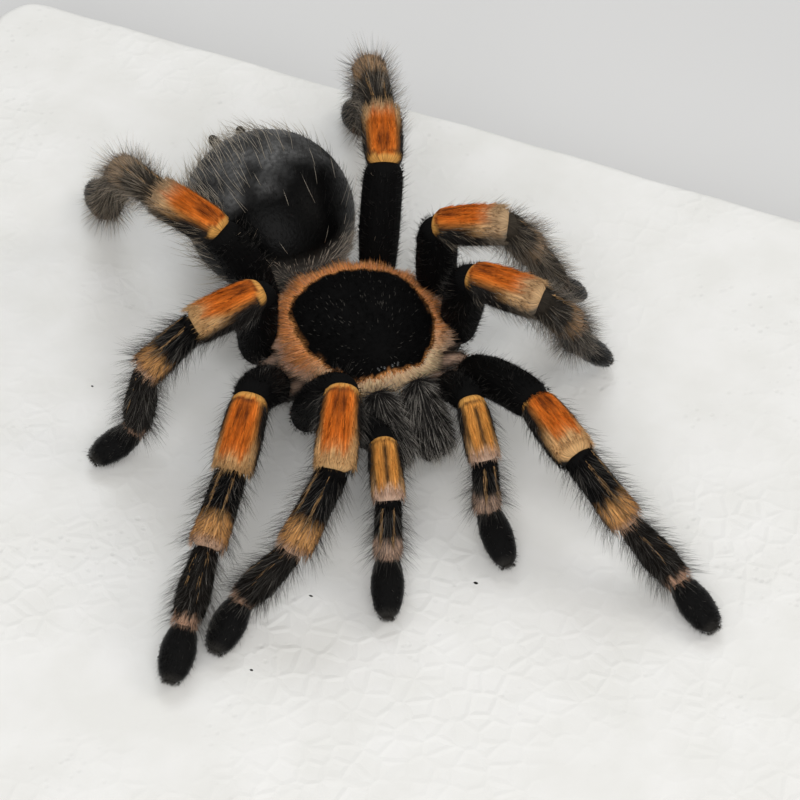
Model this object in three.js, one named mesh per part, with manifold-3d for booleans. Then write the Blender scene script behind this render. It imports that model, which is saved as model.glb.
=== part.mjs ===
// A dried red-knee tarantula standing on a slab of white expanded polystyrene.
// Millimetres, +Z up. The origin is at the middle of the board's underside.
// The spider is built facing -Y with its own left at +X, then turned on the board.

import * as THREE from 'three';
import { mergeVertices } from 'three/addons/utils/BufferGeometryUtils.js';
import Module from 'manifold-3d';

const wasm = await Module();
wasm.setup();

// Board
const BOARD_LENGTH = 180;
const BOARD_WIDTH = 150;
const BOARD_THICKNESS = 20;
const BOARD_CORNER = 7;
const BOARD_EDGE = 1.5;

// Spider on the board
const HEADING = 45;
const SPIDER_X = -2;
const SPIDER_Y = 16;
const BODY_HEIGHT = 10;
const BODY_TILT = 4;

// Front body
const CARAPACE_LENGTH = 26;
const CARAPACE_WIDTH = 23.4;
const CARAPACE_HEIGHT = 8;
const STERNUM_LENGTH = 21;
const STERNUM_WIDTH = 15;
const STERNUM_DEPTH = 5;
const COXA_RADIUS = 2.7;

// Abdomen
const ABDOMEN_LENGTH = 27.4;
const ABDOMEN_WIDTH = 25.4;
const ABDOMEN_HEIGHT = 22;
const ABDOMEN_CENTRE = [-3.3, 27, 3.8];
const ABDOMEN_SWING = 4;
const ABDOMEN_LIFT = 13;

// Mouthparts and spinnerets
const CHELICERA_LENGTH = 10.5;
const CHELICERA_WIDTH = 5.7;
const CHELICERA_HEIGHT = 7.6;
const FANG_LENGTH = 6;
const SPINNERET_LENGTH = 3.4;

// Limb segments, hip to toe: length and half thickness
const GAP = 0.15;
const LEG_PARTS = ['femur', 'patella', 'tibia', 'metatarsus', 'tarsus'];
const LEG_RADII = [3.1, 3.0, 2.7, 2.2, 2.0];
const PALP_PARTS = ['femur', 'patella', 'tibia', 'tarsus'];
const PALP_RADII = [2.4, 2.3, 2.1, 1.85];
const PAD_BREADTH = 1.3;
const PAD_DEPTH = 0.85;
const LEG_LENGTHS = {
  1: [19.5, 11, 12.8, 11, 8.6],
  2: [17.5, 10.2, 11.4, 11, 8.4],
  3: [16, 9.8, 10, 12.2, 7.8],
  4: [18, 10.8, 15, 17, 9.5],
};
const PALP_LENGTHS = [15, 8.2, 9.4, 9.5];

// Where each pair leaves the body: sideways, and back from the middle.
// The left hind hip is drawn back under its raised leg.
const HIPS = {
  palp: [8.6, -12.6],
  1: [12.4, -10.8],
  2: [14.2, -3],
  3: [14, 4.6],
  4: [9.8, 11.6],
  left_4: [7.8, 12.8],
};
const HIP_DROP = 1.2;

// The pose, hip to toe: compass direction and pitch of each segment in degrees
const POSES = {
  palp_left: [[-98, 39], [-94, -38], [-86, -83], [-94, -15]],
  palp_right: [[-80, 31], [-106, -24], [-116, -74], [-112, -16]],
  leg_left_1: [[-80, 28], [-85, 3], [-49, -50], [-60, -33], [-80, -12]],
  leg_left_2: [[-92, 72], [-53, 6], [16, -54], [54, -60], [4, -48]],
  leg_left_3: [[-95, 88], [-36, 15], [16, -57], [18, -64], [23, -46]],
  leg_left_4: [[59, 66], [71, 1], [76, -14], [79, -79], [82, -14]],
  leg_right_1: [[-81, 56], [-118, -24], [-154, -48], [176, -46], [-136, -11]],
  leg_right_2: [[-123, 42], [-130, -36], [-130, -22], [-130, -32], [-125, -18]],
  leg_right_3: [[-101, 78], [-175, -10], [177, -41], [173, -80], [-169, -15]],
  leg_right_4: [[153, 69], [123, 6], [98, -24], [96, -65], [83, -13]],
};

const material = (color, roughness) =>
  new THREE.MeshStandardMaterial({ color, roughness, metalness: 0 });

const LOOKS = {
  femur: () => material(0x0b0a0b, 0.75),
  patella: () => material(0xc8611c, 0.7),
  tibia: () => material(0x1d1815, 0.75),
  metatarsus: () => material(0x2a221c, 0.8),
  tarsus: () => material(0x100f10, 0.85),
};

const radians = THREE.MathUtils.degToRad;
const AXIS = new THREE.Vector3(0, 1, 0);

function heading(azimuth, pitch) {
  const flat = Math.cos(radians(pitch));
  const x = flat * Math.cos(radians(azimuth));
  const y = flat * Math.sin(radians(azimuth));
  return new THREE.Vector3(x, y, Math.sin(radians(pitch)));
}

// A rounded limb segment along +Y from 0 to length; swell(t) scales its radius.
function segmentGeometry(length, radius, swell, sides = 10, rings = 6) {
  const profile = [];
  for (let i = 0; i <= rings; i += 1) {
    const t = (1 - Math.cos((Math.PI * i) / rings)) / 2;
    const end = Math.pow(Math.abs(2 * t - 1), 5);
    const r = radius * swell(t) * Math.sqrt(Math.max(0, 1 - end));
    const onAxis = i === 0 || i === rings;
    profile.push(new THREE.Vector2(onAxis ? 0 : r, t * length));
  }
  return new THREE.LatheGeometry(profile, sides);
}

// Joins and cuts need vertices shared between faces.
function toSolid(geometry) {
  const bare = geometry.clone();
  bare.deleteAttribute('normal');
  bare.deleteAttribute('uv');
  const merged = mergeVertices(bare, 1e-4);
  return new wasm.Manifold(new wasm.Mesh({
    numProp: 3,
    vertProperties: new Float32Array(merged.attributes.position.array),
    triVerts: new Uint32Array(merged.index.array),
  }));
}

function toGeometry(solid) {
  const mesh = solid.getMesh();
  const geometry = new THREE.BufferGeometry();
  geometry.setAttribute('position', new THREE.BufferAttribute(mesh.vertProperties, 3));
  geometry.setIndex(new THREE.BufferAttribute(mesh.triVerts, 1));
  geometry.computeVertexNormals();
  return geometry;
}

// Keeps the side of a plane that its normal points to.
function keepSide(solid, normal, offset) {
  return solid.trimByPlane([normal.x, normal.y, normal.z], offset);
}

const SWELLS = {
  femur: (t) => 0.86 + 0.5 * t * (1 - t) + 0.02 * t,
  patella: (t) => 0.88 + 0.4 * t * (1 - t),
  tibia: (t) => 0.84 + 0.13 * t,
  metatarsus: (t) => 0.78 + 0.95 * t * (1 - t) + 0.12 * t,
  tarsus: (t) => 0.74 + 1.1 * t * (1 - t),
};

// One limb as a chain of mitred segments. The ends that meet are cut on the
// plane halfway between the two directions, with a thin gap left between them.
function limb(name, parts, lengths, radii, hip, pose) {
  const group = new THREE.Group();
  const outward = new THREE.Vector3(hip.x, hip.y, 0).normalize();
  const directions = pose.map(([azimuth, pitch]) => heading(azimuth, pitch));
  const joint = hip.clone();
  parts.forEach((part, i) => {
    const direction = directions[i];
    const before = i === 0 ? outward : directions[i - 1];
    const after = directions[i + 1];
    const upper = heading(pose[i][0], pose[i][1] + 90);
    const basis = new THREE.Matrix4().makeBasis(direction.clone().cross(upper), direction, upper);
    const turn = new THREE.Quaternion().setFromRotationMatrix(basis);
    const back = turn.clone().invert();
    const shape = segmentGeometry(lengths[i], radii[i], SWELLS[part]);
    if (part === 'tarsus') {
      shape.scale(PAD_BREADTH, 1, PAD_DEPTH);
    }
    let solid = toSolid(shape);
    const inner = direction.clone().add(before).normalize().applyQuaternion(back);
    solid = keepSide(solid, inner, GAP);
    if (after) {
      const outer = direction.clone().add(after).normalize().applyQuaternion(back).negate();
      solid = keepSide(solid, outer, outer.y * lengths[i] + GAP);
    }
    const mesh = new THREE.Mesh(toGeometry(solid), LOOKS[part]());
    mesh.name = `${name}_${part}`;
    mesh.position.copy(joint);
    mesh.quaternion.copy(turn);
    group.add(mesh);
    joint.addScaledVector(direction, lengths[i]);
  });
  return group;
}

// An egg-like closed body: a sphere reshaped by a function of its unit point.
function mould(columns, rows, reshape) {
  const geometry = new THREE.SphereGeometry(1, columns, rows);
  geometry.rotateX(Math.PI / 2);
  const position = geometry.attributes.position;
  const point = new THREE.Vector3();
  for (let i = 0; i < position.count; i += 1) {
    point.fromBufferAttribute(position, i);
    reshape(point);
    position.setXYZ(i, point.x, point.y, point.z);
  }
  return toGeometry(toSolid(geometry));
}

// A domed shield, blunt in front, with a groove behind the raised head.
function carapaceShape(point) {
  const along = point.y;
  const front = THREE.MathUtils.smoothstep(-along, 0.1, 1);
  const rim = 1 - 0.12 * front;
  const blunt = Math.sign(along) * Math.pow(Math.abs(along), along < 0 ? 0.8 : 1);
  const head = 0.82 + 0.22 * Math.exp(-Math.pow((along + 0.5) / 0.4, 2));
  const pit = 0.16 * Math.exp(-Math.pow(along - 0.25, 2) / 0.02 - Math.pow(point.x, 2) / 0.03);
  const mound = 1.1 * Math.exp(-Math.pow(along + 0.86, 2) / 0.012 - Math.pow(point.x, 2) / 0.04);
  const side = Math.sign(point.x) * Math.pow(Math.abs(point.x), 0.85);
  point.x = side * rim * CARAPACE_WIDTH / 2;
  point.y = blunt * CARAPACE_LENGTH / 2;
  point.z = point.z > 0
    ? 1.6 + point.z * (head - pit) * (CARAPACE_HEIGHT - 1.6) + mound * point.z
    : 1.6 + point.z * 0.6;
}

function carapace() {
  const mesh = new THREE.Mesh(mould(22, 16, carapaceShape), material(0x0c0b0c, 0.6));
  mesh.name = 'carapace';
  return mesh;
}

// The underside plate with the ten hip stubs grown out of it.
function sternum(hips) {
  let solid = toSolid(mould(12, 8, (point) => {
    point.x *= STERNUM_WIDTH / 2;
    point.y *= STERNUM_LENGTH / 2;
    point.z = point.z > 0 ? point.z * 0.5 : point.z * STERNUM_DEPTH;
  }));
  hips.forEach(({ hip, first }) => {
    const out = new THREE.Vector3(hip.x, hip.y, 0);
    const reach = out.length();
    out.normalize();
    const stub = segmentGeometry(reach * 0.8, COXA_RADIUS * hip.scale, () => 0.95, 7, 4);
    const turn = new THREE.Quaternion().setFromUnitVectors(AXIS, out);
    const start = hip.clone().addScaledVector(out, -reach * 0.8);
    stub.applyMatrix4(new THREE.Matrix4().compose(start, turn, new THREE.Vector3(1, 1, 1)));
    const mitre = out.clone().add(first).normalize().negate();
    const trimmed = keepSide(toSolid(stub), mitre, mitre.dot(hip) + GAP);
    solid = solid.add(trimmed);
  });
  // Flat on top, just clear of the shield.
  solid = keepSide(solid, new THREE.Vector3(0, 0, -1), -0.7);
  const mesh = new THREE.Mesh(toGeometry(solid), material(0x14110f, 0.8));
  mesh.name = 'sternum';
  return mesh;
}

function abdomen() {
  const group = new THREE.Group();
  const body = new THREE.Mesh(mould(24, 16, (point) => {
    const fullness = 1 + 0.06 * point.y;
    point.x *= (ABDOMEN_WIDTH / 2) * fullness;
    point.y *= ABDOMEN_LENGTH / 2;
    point.z *= (ABDOMEN_HEIGHT / 2) * fullness;
  }), material(0x111214, 0.45));
  body.name = 'abdomen';
  group.add(body);
  ['left', 'right'].forEach((side, i) => {
    const sign = i === 0 ? 1 : -1;
    const nub = new THREE.Mesh(
      segmentGeometry(SPINNERET_LENGTH, 1, (t) => 1 - 0.35 * t, 8, 5),
      material(0x0e0d0d, 0.7),
    );
    nub.name = `spinneret_${side}`;
    nub.position.set(sign * 1.7, ABDOMEN_LENGTH / 2 + 0.2, -0.4);
    nub.rotation.set(radians(4), 0, radians(-12 * sign));
    group.add(nub);
  });
  group.position.fromArray(ABDOMEN_CENTRE);
  group.rotation.set(radians(ABDOMEN_LIFT), 0, radians(ABDOMEN_SWING), 'ZXY');
  return group;
}

// A jaw base, deep and blunt, with its fang folded under it.
function chelicera(side) {
  const sign = side === 'left' ? 1 : -1;
  const group = new THREE.Group();
  const base = new THREE.Mesh(mould(12, 10, (point) => {
    const blunt = Math.sign(point.y) * Math.pow(Math.abs(point.y), 0.8);
    const around = Math.max(Math.hypot(point.x, point.z), 1e-6);
    const full = Math.pow(around, point.y > 0 ? -0.7 : -0.45);
    point.x *= full * (CHELICERA_WIDTH / 2) * (0.94 - 0.08 * point.y);
    point.z *= full * (CHELICERA_HEIGHT / 2) * (1 + 0.12 * point.y);
    point.y = blunt * CHELICERA_LENGTH / 2;
  }), material(0x151414, 0.7));
  base.name = `chelicera_${side}`;
  base.position.set(sign * 3, -18, -0.6);
  base.rotation.x = radians(30);
  group.add(base);
  const bow = segmentGeometry(FANG_LENGTH, 0.85, (t) => 1.05 - 0.85 * t, 6, 8);
  const position = bow.attributes.position;
  for (let i = 0; i < position.count; i += 1) {
    const t = position.getY(i) / FANG_LENGTH;
    position.setZ(i, position.getZ(i) - 1.6 * t * (1 - t) * 2);
  }
  const fang = new THREE.Mesh(bow, material(0x0a0808, 0.3));
  fang.name = `fang_${side}`;
  fang.position.set(sign * 3, -19.8, -6.9);
  fang.rotation.x = radians(-8);
  group.add(fang);
  return group;
}

function board() {
  const w = BOARD_LENGTH / 2 - BOARD_EDGE;
  const h = BOARD_WIDTH / 2 - BOARD_EDGE;
  const r = BOARD_CORNER - BOARD_EDGE;
  const outline = new THREE.Shape();
  outline.moveTo(w, -h + r);
  outline.lineTo(w, h - r);
  outline.absarc(w - r, h - r, r, 0, Math.PI / 2);
  outline.lineTo(-w + r, h);
  outline.absarc(-w + r, h - r, r, Math.PI / 2, Math.PI);
  outline.lineTo(-w, -h + r);
  outline.absarc(-w + r, -h + r, r, Math.PI, 1.5 * Math.PI);
  outline.lineTo(w - r, -h);
  outline.absarc(w - r, -h + r, r, 1.5 * Math.PI, 2 * Math.PI);
  const slab = new THREE.ExtrudeGeometry(outline, {
    depth: BOARD_THICKNESS - 2 * BOARD_EDGE,
    bevelEnabled: true,
    bevelThickness: BOARD_EDGE,
    bevelSize: BOARD_EDGE,
    bevelSegments: 2,
    curveSegments: 4,
  });
  slab.translate(0, 0, BOARD_EDGE);
  const mesh = new THREE.Mesh(toGeometry(toSolid(slab)), material(0xeeeeea, 0.9));
  mesh.name = 'foam_board';
  return mesh;
}

const hipPoint = (pair, side) => {
  const [out, back] = HIPS[`${side}_${pair}`] ?? HIPS[pair];
  const hip = new THREE.Vector3(side === 'left' ? out : -out, back, -HIP_DROP);
  hip.scale = pair === 'palp' ? 0.8 : 1;
  return hip;
};

// Body frame to spider frame: the front of the body is tipped up a little.
const tilt = new THREE.Quaternion().setFromAxisAngle(new THREE.Vector3(1, 0, 0), radians(-BODY_TILT));
const lift = new THREE.Vector3(0, 0, BODY_HEIGHT);
const level = tilt.clone().invert();

const spider = new THREE.Group();
const stubs = [];
Object.keys(POSES).forEach((name) => {
  const [kind, side, number] = name.split('_');
  const pair = kind === 'palp' ? 'palp' : number;
  const hip = hipPoint(pair, side);
  const first = heading(...POSES[name][0]);
  stubs.push({ hip, first: first.clone().applyQuaternion(level) });
  const root = hip.clone().applyQuaternion(tilt);
  const isPalp = kind === 'palp';
  const chain = limb(
    name,
    isPalp ? PALP_PARTS : LEG_PARTS,
    isPalp ? PALP_LENGTHS : LEG_LENGTHS[number],
    isPalp ? PALP_RADII : LEG_RADII,
    root,
    POSES[name],
  );
  chain.position.copy(lift);
  spider.add(chain);
});

const body = new THREE.Group();
body.add(carapace(), sternum(stubs), abdomen(), chelicera('left'), chelicera('right'));
body.quaternion.copy(tilt);
body.position.copy(lift);
spider.add(body);
spider.position.set(SPIDER_X, SPIDER_Y, BOARD_THICKNESS);
spider.rotation.z = radians(HEADING);

const specimen = new THREE.Group();
specimen.add(board(), spider);

export default specimen;
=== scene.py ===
"""A dried red-knee tarantula on a white foam board: its skin, its coat of hair, and the studio.

Lengths are in millimetres until place() puts them in the row's frame, in metres.
The spider is laid out facing -Y with its own left at +X, as the solids are.
"""

import math

import bpy
import numpy as np
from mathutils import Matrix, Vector


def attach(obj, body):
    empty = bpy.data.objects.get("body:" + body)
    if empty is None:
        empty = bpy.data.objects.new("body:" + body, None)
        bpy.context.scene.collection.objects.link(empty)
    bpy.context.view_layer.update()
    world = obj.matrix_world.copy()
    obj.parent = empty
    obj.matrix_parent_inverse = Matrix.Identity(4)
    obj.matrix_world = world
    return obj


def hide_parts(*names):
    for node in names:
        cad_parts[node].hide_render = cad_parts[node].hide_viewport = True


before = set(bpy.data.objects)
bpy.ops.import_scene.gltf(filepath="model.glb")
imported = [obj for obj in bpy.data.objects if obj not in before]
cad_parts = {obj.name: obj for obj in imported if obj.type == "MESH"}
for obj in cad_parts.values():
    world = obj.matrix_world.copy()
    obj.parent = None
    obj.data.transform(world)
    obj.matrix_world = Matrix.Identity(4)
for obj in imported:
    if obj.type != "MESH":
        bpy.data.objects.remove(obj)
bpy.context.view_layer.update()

MM = 0.001
rng = np.random.default_rng(23)

# ---------------------------------------------------------------- the layout, as in the solids

BOARD = (180.0, 150.0, 20.0)
BOARD_CORNER = 7.0
BOARD_EDGE = 1.5
HEADING = 45.0
SPIDER = (-2.0, 16.0, 20.0)
BODY_HEIGHT = 10.0
BODY_TILT = 4.0
HIP_DROP = 1.2

LEG_PARTS = ("femur", "patella", "tibia", "metatarsus", "tarsus")
PALP_PARTS = ("femur", "patella", "tibia", "tarsus")
LEG_RADII = (3.1, 3.0, 2.7, 2.2, 2.0)
PALP_RADII = (2.4, 2.3, 2.1, 1.85)
COXA_RADIUS = 2.7
PAD_BREADTH = 1.3
PAD_DEPTH = 0.85
LENGTHS = {
    "palp": (15, 8.2, 9.4, 9.5),
    "1": (19.5, 11, 12.8, 11, 8.6),
    "2": (17.5, 10.2, 11.4, 11, 8.4),
    "3": (16, 9.8, 10, 12.2, 7.8),
    "4": (18, 10.8, 15, 17, 9.5),
}
HIPS = {
    "palp": (8.6, -12.6),
    "1": (12.4, -10.8),
    "2": (14.2, -3),
    "3": (14, 4.6),
    "4": (9.8, 11.6),
    "left_4": (7.8, 12.8),
}
POSES = {
    "palp_left": ((-98, 39), (-94, -38), (-86, -83), (-94, -15)),
    "palp_right": ((-80, 31), (-106, -24), (-116, -74), (-112, -16)),
    "leg_left_1": ((-80, 28), (-85, 3), (-49, -50), (-60, -33), (-80, -12)),
    "leg_left_2": ((-92, 72), (-53, 6), (16, -54), (54, -60), (4, -48)),
    "leg_left_3": ((-95, 88), (-36, 15), (16, -57), (18, -64), (23, -46)),
    "leg_left_4": ((59, 66), (71, 1), (76, -14), (79, -79), (82, -14)),
    "leg_right_1": ((-81, 56), (-118, -24), (-154, -48), (176, -46), (-136, -11)),
    "leg_right_2": ((-123, 42), (-130, -36), (-130, -22), (-130, -32), (-125, -18)),
    "leg_right_3": ((-101, 78), (-175, -10), (177, -41), (173, -80), (-169, -15)),
    "leg_right_4": ((153, 69), (123, 6), (98, -24), (96, -65), (83, -13)),
}

CARAPACE = (23.4, 26.0, 8.0)
STERNUM = (15.0, 21.0, 5.0)
ABDOMEN = (25.4, 27.4, 22.0)
ABDOMEN_CENTRE = (-3.3, 27.0, 3.8)
ABDOMEN_SWING = 4.0
ABDOMEN_LIFT = 13.0
SPINNERET_LENGTH = 3.4
CHELICERA = (5.7, 10.5, 7.6)
CHELICERA_PLACE = (3.0, -18.0, -0.6)
CHELICERA_TURN = 30.0
FANG_LENGTH = 6.0
FANG_PLACE = (3.0, -19.8, -6.9)
FANG_TURN = -8.0

# the share of its solid's size that each skin keeps, which leaves room for short hair
LIMB_FIT = 0.97
ABDOMEN_FIT = 0.985
JAW_FIT = 0.98
# how deep hair is rooted: shares of a limb's skin radius, and millimetres under a moulded skin
SHORT_ROOT = 0.97
LONG_ROOT = 0.96
STREAK_ROOT = 1.02
TIP_ROOT = 0.97
BODY_ROOT = 0.12


def turn_x(points, degrees):
    c, s = math.cos(math.radians(degrees)), math.sin(math.radians(degrees))
    return points @ np.array([[1, 0, 0], [0, c, -s], [0, s, c]]).T


def turn_z(points, degrees):
    c, s = math.cos(math.radians(degrees)), math.sin(math.radians(degrees))
    return points @ np.array([[c, -s, 0], [s, c, 0], [0, 0, 1]]).T


def body_place(points):
    """The body's own frame to the spider's frame."""
    return turn_x(np.asarray(points, float), -BODY_TILT) + (0, 0, BODY_HEIGHT)


def abdomen_place(points):
    lifted = turn_z(turn_x(np.asarray(points, float), ABDOMEN_LIFT), ABDOMEN_SWING)
    return body_place(lifted + ABDOMEN_CENTRE)


def place(points):
    """Spider frame in millimetres to the row's frame in metres."""
    return (turn_z(points, HEADING) + SPIDER) * MM


def heading(azimuth, pitch):
    a, p = math.radians(azimuth), math.radians(pitch)
    return np.array([math.cos(p) * math.cos(a), math.cos(p) * math.sin(a), math.sin(p)])


def unit(v):
    return v / np.maximum(np.linalg.norm(v, axis=-1, keepdims=True), 1e-9)


def dots(a, b):
    return np.einsum("ij,ij->i", a, b)[:, None]


def smooth(low, high, x):
    t = np.clip((x - low) / (high - low), 0, 1)
    return t * t * (3 - 2 * t)


def bell(x, width):
    return np.exp(-((x / width) ** 2))


def blend(a, b, t):
    t = np.asarray(t)[..., None]
    return a * (1 - t) + b * t


# ---------------------------------------------------------------- colours of hair and skin

BLACK = np.array([0.0026, 0.0025, 0.0026])
SOOT = np.array([0.016, 0.0145, 0.0135])
BROWN = np.array([0.05, 0.038, 0.028])
GREY = np.array([0.2, 0.185, 0.165])
ORANGE = np.array([0.72, 0.17, 0.018])
RUST = np.array([0.07, 0.014, 0.005])
AMBER = np.array([0.78, 0.39, 0.1])
OCHRE = np.array([0.64, 0.33, 0.12])
TAN = np.array([0.7, 0.42, 0.19])
PINK_TAN = np.array([0.68, 0.46, 0.34])
PEACH = np.array([0.95, 0.7, 0.45])
FOX = np.array([0.95, 0.4, 0.13])
DUST = np.array([0.42, 0.34, 0.25])

# ---------------------------------------------------------------- materials

# the colour sockets of a mix node, which share their names with its other sockets
MIX_FIRST, MIX_SECOND, MIX_RESULT = 6, 7, 2


def node_material(name, roughness, specular, sheen=0.0, sheen_roughness=0.5):
    material = bpy.data.materials.new(name)
    material.use_nodes = True
    tree = material.node_tree
    shader = tree.nodes["Principled BSDF"]
    shader.inputs["Roughness"].default_value = roughness
    shader.inputs["Specular IOR Level"].default_value = specular
    shader.inputs["Sheen Weight"].default_value = sheen
    shader.inputs["Sheen Roughness"].default_value = sheen_roughness
    return material, tree, shader


def add_noise(tree, vector, scale, detail=4.0):
    noise = tree.nodes.new("ShaderNodeTexNoise")
    noise.inputs["Scale"].default_value = scale
    noise.inputs["Detail"].default_value = detail
    tree.links.new(vector, noise.inputs["Vector"])
    return noise.outputs["Fac"]


def add_range(tree, value, low, high, out_low=0.0, out_high=1.0):
    ramp = tree.nodes.new("ShaderNodeMapRange")
    ramp.inputs["From Min"].default_value = low
    ramp.inputs["From Max"].default_value = high
    ramp.inputs["To Min"].default_value = out_low
    ramp.inputs["To Max"].default_value = out_high
    tree.links.new(value, ramp.inputs["Value"])
    return ramp.outputs["Result"]


def add_math(tree, operation, a, b):
    node = tree.nodes.new("ShaderNodeMath")
    node.operation = operation
    for socket, value in zip(node.inputs, (a, b)):
        if isinstance(value, float):
            socket.default_value = value
        else:
            tree.links.new(value, socket)
    return node.outputs["Value"]


def add_bump(tree, shader, height, depth_mm, strength=1.0):
    bump = tree.nodes.new("ShaderNodeBump")
    bump.inputs["Distance"].default_value = depth_mm * MM
    bump.inputs["Strength"].default_value = strength
    tree.links.new(height, bump.inputs["Height"])
    tree.links.new(bump.outputs["Normal"], shader.inputs["Normal"])


def add_scaled(tree, colour, factor):
    scale = tree.nodes.new("ShaderNodeVectorMath")
    scale.operation = "SCALE"
    tree.links.new(colour, scale.inputs[0])
    tree.links.new(factor, scale.inputs["Scale"])
    return scale.outputs["Vector"]


def add_mix(tree, factor, first, second):
    mix = tree.nodes.new("ShaderNodeMix")
    mix.data_type = "RGBA"
    mix.inputs[MIX_FIRST].default_value = (*first, 1)
    mix.inputs[MIX_SECOND].default_value = (*second, 1)
    tree.links.new(factor, mix.inputs[0])
    return mix.outputs[MIX_RESULT]


def add_tint(tree):
    tint = tree.nodes.new("ShaderNodeAttribute")
    tint.attribute_name = "tint"
    return tint.outputs["Color"]


def coat_material(name, roughness, specular, sheen=0.0):
    """Hair: its colour is the tint that each hair carries."""
    material, tree, shader = node_material(name, roughness, specular, sheen)
    tree.links.new(add_tint(tree), shader.inputs["Base Color"])
    return material


def skin_material(name, roughness, specular, sheen=0.0, streaks=(60.0, 5.0), depth_mm=0.2):
    """Short felted hair: the tint, streaked and roughened along the surface."""
    material, tree, shader = node_material(name, roughness, specular, sheen, 0.35)
    coordinates = tree.nodes.new("ShaderNodeTexCoord")
    mapping = tree.nodes.new("ShaderNodeMapping")
    mapping.inputs["Scale"].default_value = (*streaks, 1.0)
    tree.links.new(coordinates.outputs["UV"], mapping.inputs["Vector"])
    noise = add_noise(tree, mapping.outputs["Vector"], 1.0, 3.0)
    shade = add_range(tree, noise, 0.3, 0.7, 0.45, 1.2)
    tree.links.new(add_scaled(tree, add_tint(tree), shade), shader.inputs["Base Color"])
    add_bump(tree, shader, noise, depth_mm, 0.8)
    return material


SKIN = skin_material("felted_skin", 0.75, 0.08)
PAD = skin_material("foot_pad", 0.7, 0.1, 0.35, (90.0, 20.0), 0.08)
VELVET = skin_material("shield_velvet", 0.75, 0.06, 0.0, (90.0, 60.0), 0.12)
BELLY = skin_material("abdomen_velvet", 0.4, 0.08, 0.0, (90.0, 60.0), 0.1)
PILE = coat_material("short_hair", 0.7, 0.05)
BELLY_PILE = coat_material("abdomen_hair", 0.45, 0.09)
HAIR = coat_material("long_hair", 0.5, 0.25)

# ---------------------------------------------------------------- meshes


def make_object(name, material, vertices, faces, tint=None, uv=None):
    """A smooth mesh in the row's frame from spider-frame points, with a tint for each point."""
    faces = np.asarray(faces, np.int32)
    mesh = bpy.data.meshes.new(name)
    mesh.vertices.add(len(vertices))
    mesh.vertices.foreach_set("co", place(vertices).astype(np.float32).ravel())
    mesh.loops.add(faces.size)
    mesh.loops.foreach_set("vertex_index", faces.ravel())
    mesh.polygons.add(len(faces))
    mesh.polygons.foreach_set("loop_start", np.arange(0, faces.size, 3, dtype=np.int32))
    mesh.polygons.foreach_set("use_smooth", np.ones(len(faces), bool))
    if tint is not None:
        layer = mesh.color_attributes.new("tint", "FLOAT_COLOR", "POINT")
        rgba = np.hstack([np.clip(tint, 0, 1), np.ones((len(tint), 1))])
        layer.data.foreach_set("color", rgba.astype(np.float32).ravel())
    if uv is not None:
        mesh.uv_layers.new(name="UVMap").data.foreach_set("uv", uv.astype(np.float32).ravel())
    mesh.update(calc_edges=True)
    mesh.materials.append(material)
    piece = bpy.data.objects.new(name, mesh)
    bpy.context.collection.objects.link(piece)
    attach(piece, "root")
    return piece


def closed_rings(rings):
    """Vertices, outward faces and texture corners of a closed body.

    rings is (rows, columns, 3); the first and the last row are single points, repeated."""
    rows, columns = rings.shape[:2]
    vertices = np.vstack([rings[0, :1], rings[1:-1].reshape(-1, 3), rings[-1, :1]])
    last = len(vertices) - 1

    def at(row, column):
        return 1 + (row - 1) * columns + column % columns

    faces, corners = [], []
    for c in range(columns):
        u, v = c / columns, (c + 1) / columns
        faces.append((0, at(1, c), at(1, c + 1)))
        corners.append(((u, 0), (u, 1 / rows), (v, 1 / rows)))
        for r in range(1, rows - 2):
            low, high = r / rows, (r + 1) / rows
            a, b, d, e = at(r, c), at(r, c + 1), at(r + 1, c), at(r + 1, c + 1)
            faces += [(a, d, e), (a, e, b)]
            corners += [((u, low), (u, high), (v, high)), ((u, low), (v, high), (v, low))]
        top = (rows - 1) / rows
        faces.append((at(rows - 2, c), last, at(rows - 2, c + 1)))
        corners.append(((u, top), (u, 1), (v, top)))
    faces, corners = np.array(faces), np.array(corners)
    centred = vertices - vertices.mean(axis=0)
    a, b, c = (centred[faces[:, i]] for i in range(3))
    if np.einsum("ij,ij->i", a, np.cross(b, c)).sum() < 0:
        faces, corners = faces[:, ::-1], corners[:, ::-1]
    return vertices, faces, corners.reshape(-1, 2)


def ring_values(values):
    """Values of each ring point, in the order of closed_rings' vertices."""
    width = values.shape[-1]
    return np.vstack([values[0, :1], values[1:-1].reshape(-1, width), values[-1, :1]])


def ball_grid(columns, rows):
    """Unit points from the front pole to the rear pole along Y."""
    theta = np.linspace(0, math.pi, rows)
    phi = np.linspace(0, 2 * math.pi, columns, endpoint=False)
    tt, pp = np.meshgrid(theta, phi, indexing="ij")
    return np.stack([np.sin(tt) * np.sin(pp), -np.cos(tt), np.sin(tt) * np.cos(pp)], axis=-1)


def moulded(name, material, columns, rows, reshape, transform, tint):
    """A smooth body: a ball reshaped by one function, then placed and tinted by others."""
    ball = ball_grid(columns, rows)
    vertices, faces, corners = closed_rings(reshape(ball))
    return make_object(name, material, transform(vertices), faces, tint(ring_values(ball)), corners)


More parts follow.
